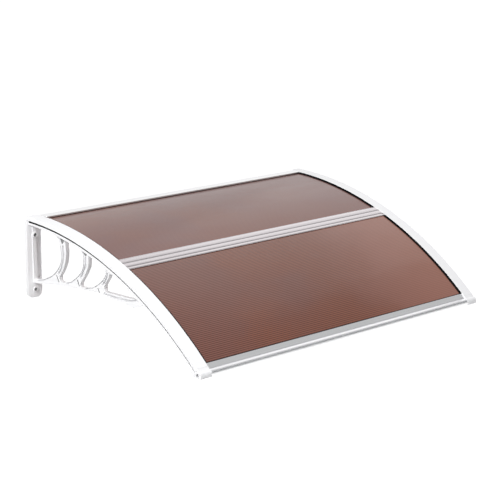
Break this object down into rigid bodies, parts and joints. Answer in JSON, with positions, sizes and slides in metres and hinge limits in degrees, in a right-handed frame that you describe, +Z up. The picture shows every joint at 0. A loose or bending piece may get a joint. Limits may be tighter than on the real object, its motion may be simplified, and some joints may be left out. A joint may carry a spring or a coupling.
{
  "type": "door canopy",
  "caption": "Curved door canopy: brown twin-wall sheets held in aluminium bars between white moulded wall brackets with open ribs.",
  "frame": {"origin": "on the wall plane, midway between the brackets, level with the top face of the sheet where it leaves the wall bar; it lies on the wall bar's flat back", "axes": "+X along the wall to the right seen from outside with the wall behind, +Y into the wall, +Z up; the canopy reaches out towards -Y"},
  "size_m": [1.2, 0.86, 0.3203],
  "materials": {
    "white_plastic": "smooth white moulded plastic, satin",
    "brown_polycarbonate": "tinted brown twin-wall polycarbonate with fine cross flutes, semi-gloss",
    "aluminium": "mill-finish extruded aluminium",
    "black_rubber": "matt black",
    "screw_steel": "bright zinc-plated steel"
  },
  "bodies": {
    "root": {"bracket_left": "white_plastic", "bracket_right": "white_plastic", "cover_strip_left": "white_plastic", "cover_strip_right": "white_plastic", "sheet_rear": "brown_polycarbonate", "sheet_front": "brown_polycarbonate", "wall_bar": "aluminium", "middle_bar": "aluminium", "front_bar": "aluminium", "wall_seal": "black_rubber", "side_seal_rear_left": "black_rubber", "side_seal_rear_right": "black_rubber", "side_seal_front_left": "black_rubber", "side_seal_front_right": "black_rubber", "front_screw_left": "screw_steel", "front_screw_right": "screw_steel"}
  },
  "joints": []
}
